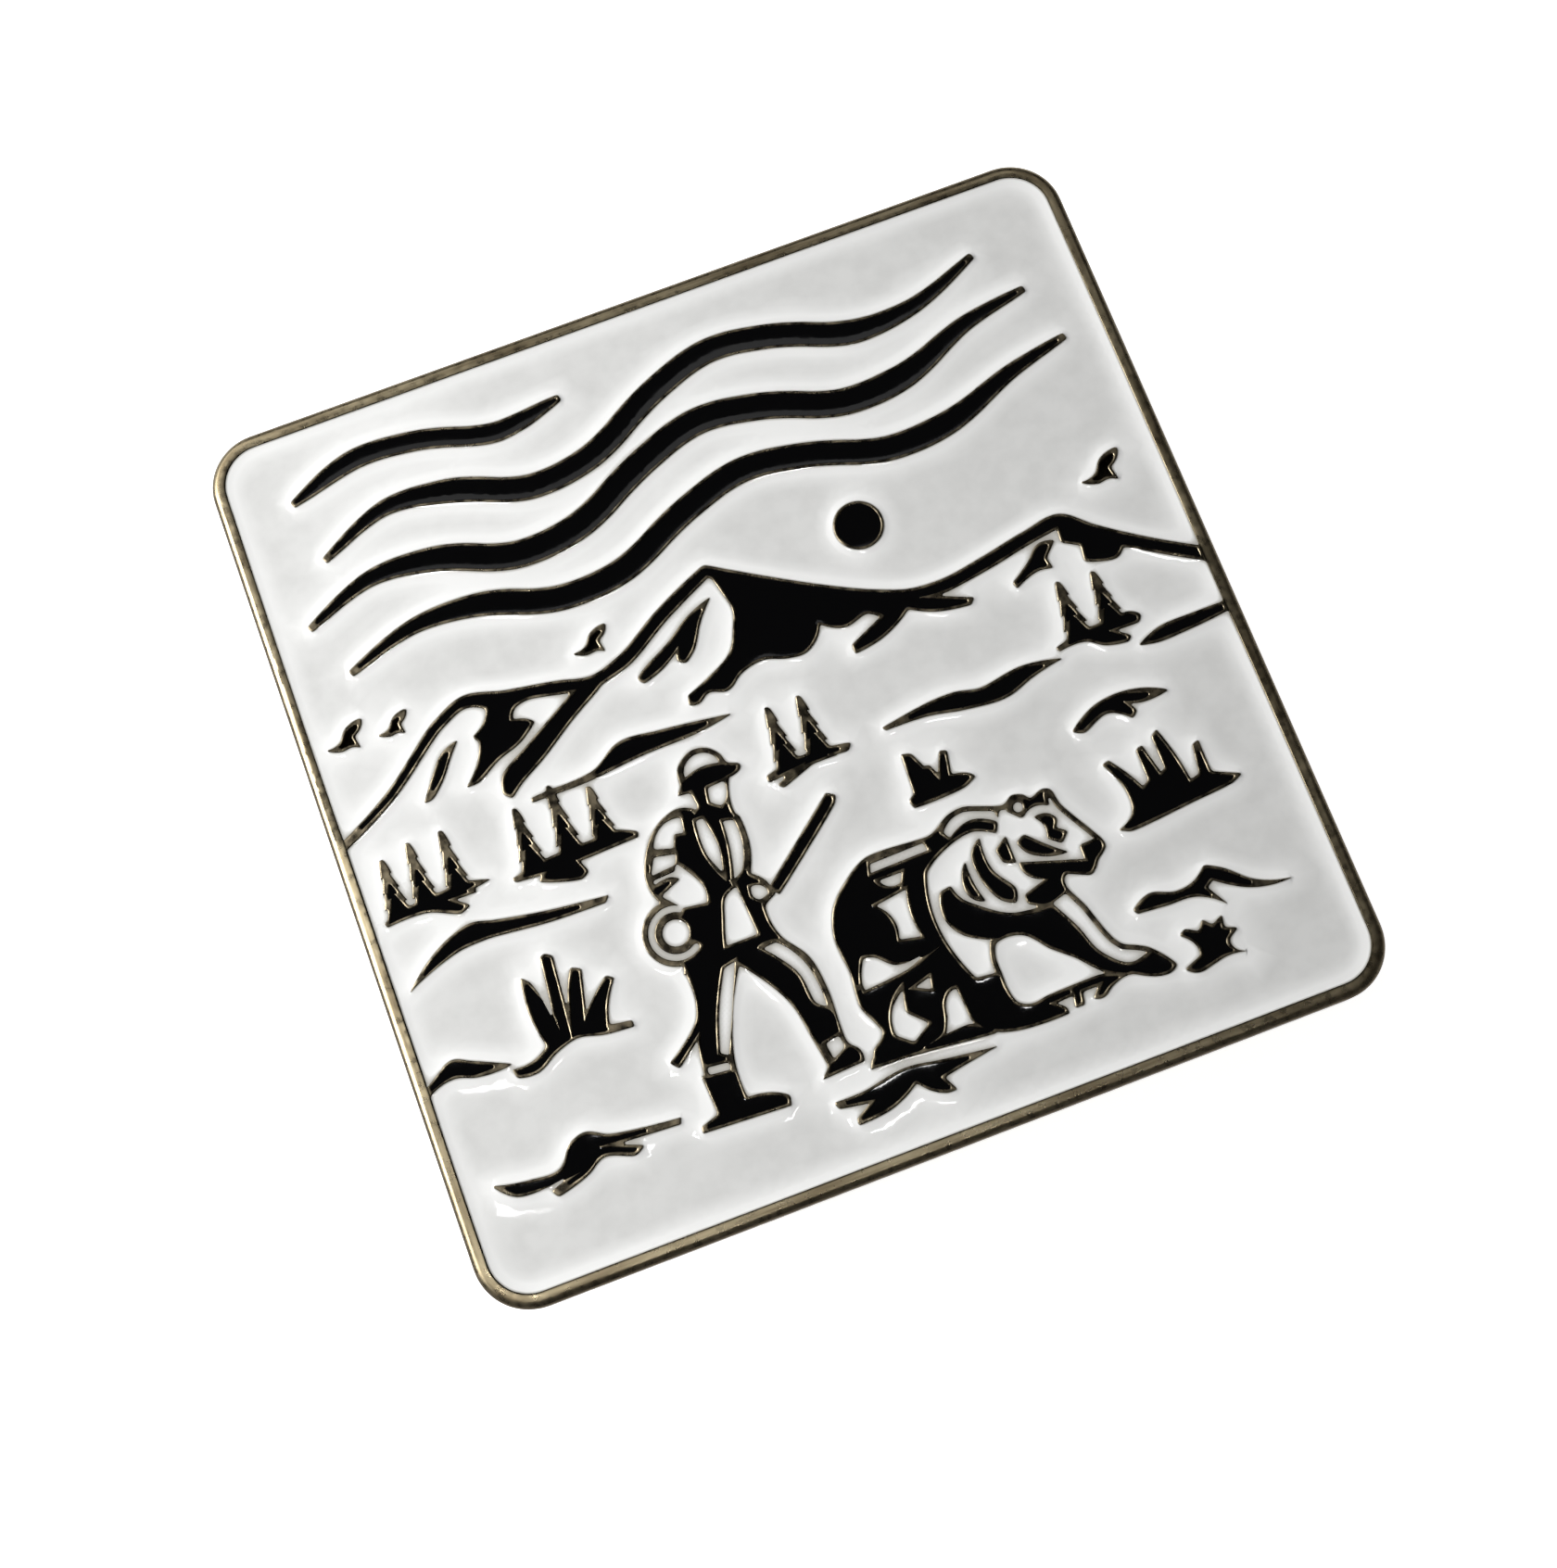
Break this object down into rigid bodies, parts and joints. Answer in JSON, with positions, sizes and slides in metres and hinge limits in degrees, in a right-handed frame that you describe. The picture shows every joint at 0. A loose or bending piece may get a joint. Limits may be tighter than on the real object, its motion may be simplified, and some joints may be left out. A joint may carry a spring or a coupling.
{
  "type": "enamel pin badge",
  "caption": "Square metal pin badge with a black and white enamel landscape, a walker and a bear, on two posts with butterfly clutches.",
  "frame": {"origin": "centre of the flat back of the badge", "axes": "+Z out of the enamelled face, +Y up the picture, +X to the right of the picture as seen from the front"},
  "size_m": [0.0382, 0.0382, 0.0094],
  "materials": {
    "antique_metal": "antique bronze plating, polished on the high edges",
    "white_enamel": "glossy soft enamel",
    "black_enamel": "glossy soft enamel",
    "post_metal": "plated, satin",
    "solder": "dull",
    "clutch_brass": "polished, stamped sheet"
  },
  "bodies": {
    "badge": {"badge_base": "antique_metal", "sky_enamel": "white_enamel", "land_enamel": "white_enamel", "hiker_white_enamel": "white_enamel", "bear_white_enamel": "white_enamel", "scroll_black_enamel": "black_enamel", "sun_black_enamel": "black_enamel", "ridge_black_enamel": "black_enamel", "hill_black_enamel": "black_enamel", "tree_black_enamel": "black_enamel", "grass_black_enamel": "black_enamel", "hiker_black_enamel": "black_enamel", "bear_black_enamel": "black_enamel", "left_post": "post_metal", "right_post": "post_metal", "left_solder": "solder", "right_solder": "solder"},
    "left_clutch": {"left_cup": "clutch_brass"},
    "left_clip": {"left_spring": "clutch_brass"},
    "left_upper_wing": {"left_wing_upper": "clutch_brass"},
    "left_lower_wing": {"left_wing_lower": "clutch_brass"},
    "right_clutch": {"right_cup": "clutch_brass"},
    "right_clip": {"right_spring": "clutch_brass"},
    "right_upper_wing": {"right_wing_upper": "clutch_brass"},
    "right_lower_wing": {"right_wing_lower": "clutch_brass"}
  },
  "joints": [
    {"name": "left_slide", "type": "slide", "parent": "badge", "child": "left_clutch", "axis": [0, 0, -1], "range_m": [-0.0021, 0.014]},
    {"name": "left_turn", "type": "hinge", "parent": "left_clutch", "child": "left_clip", "pos_m": [-0.0095, 0, -0.00262], "axis": [0, 0, -1], "continuous": true},
    {"name": "left_squeeze", "type": "hinge", "parent": "left_clip", "child": "left_upper_wing", "pos_m": [-0.0095, 0.0028, -0.00287], "axis": [1, 0, 0], "range_deg": [0, 9], "stiffness_Nm_per_rad": 0.05, "springref_deg": -20.05},
    {"name": "left_follow", "type": "hinge", "parent": "left_clip", "child": "left_lower_wing", "pos_m": [-0.0095, -0.0028, -0.00287], "axis": [-1, 0, 0], "range_deg": [0, 9]},
    {"name": "right_slide", "type": "slide", "parent": "badge", "child": "right_clutch", "axis": [0, 0, -1], "range_m": [-0.0021, 0.014]},
    {"name": "right_turn", "type": "hinge", "parent": "right_clutch", "child": "right_clip", "pos_m": [0.0095, 0, -0.00262], "axis": [0, 0, -1], "continuous": true},
    {"name": "right_squeeze", "type": "hinge", "parent": "right_clip", "child": "right_upper_wing", "pos_m": [0.0095, 0.0028, -0.00287], "axis": [1, 0, 0], "range_deg": [0, 9], "stiffness_Nm_per_rad": 0.05, "springref_deg": -20.05},
    {"name": "right_follow", "type": "hinge", "parent": "right_clip", "child": "right_lower_wing", "pos_m": [0.0095, -0.0028, -0.00287], "axis": [-1, 0, 0], "range_deg": [0, 9]}
  ],
  "couplings": [
    {"joint": "left_follow", "follows": "left_squeeze", "ratio": 1},
    {"joint": "right_follow", "follows": "right_squeeze", "ratio": 1}
  ]
}
